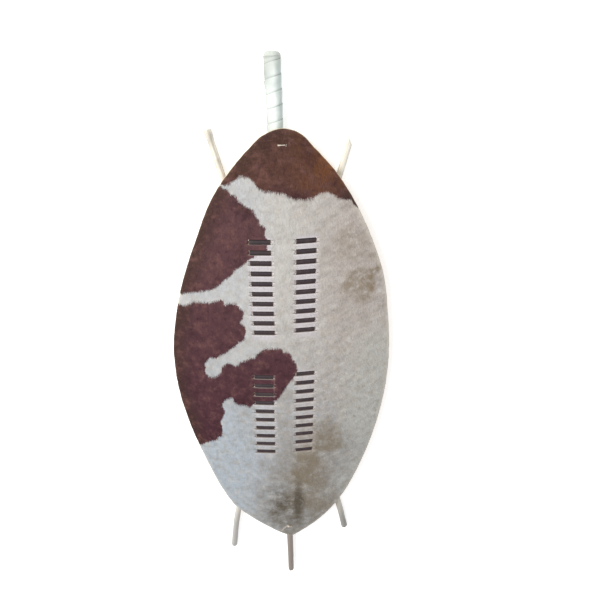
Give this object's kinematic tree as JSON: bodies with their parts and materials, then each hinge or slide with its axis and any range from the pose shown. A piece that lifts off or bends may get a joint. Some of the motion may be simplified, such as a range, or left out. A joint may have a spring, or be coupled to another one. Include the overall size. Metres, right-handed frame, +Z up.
{
  "type": "laced hide shield",
  "caption": "Pointed oval hide shield lying face up, with laced slits, a centre pole with a wound head, thong ties and crossed sticks behind.",
  "frame": {"origin": "middle of the object's box, on the floor that it lies on", "axes": "+Y along the pole towards its wound head, +Z up out of the hair side, +X to the shield's right seen from the hair side"},
  "size_m": [0.4356, 1.139, 0.0574],
  "materials": {
    "haired_hide": "short cow hair, white and brown patches, raw cut edges",
    "dark_lace": "dark haired hide strip",
    "pole_wood": "peeled, weathered grey-brown pole",
    "white_wrap": "white haired hide strip wound in a spiral",
    "rawhide_thong": "pale dry rawhide thong",
    "stick_wood": "peeled pale stick, greying towards the foot"
  },
  "bodies": {
    "root": {"hide_face": "haired_hide", "lace_upper_left": "dark_lace", "lace_upper_right": "dark_lace", "lace_lower_left": "dark_lace", "lace_lower_right": "dark_lace", "centre_pole": "pole_wood", "head_wrap": "white_wrap", "head_tie": "rawhide_thong", "foot_tie": "rawhide_thong", "left_stick": "stick_wood", "right_stick": "stick_wood"}
  },
  "joints": []
}
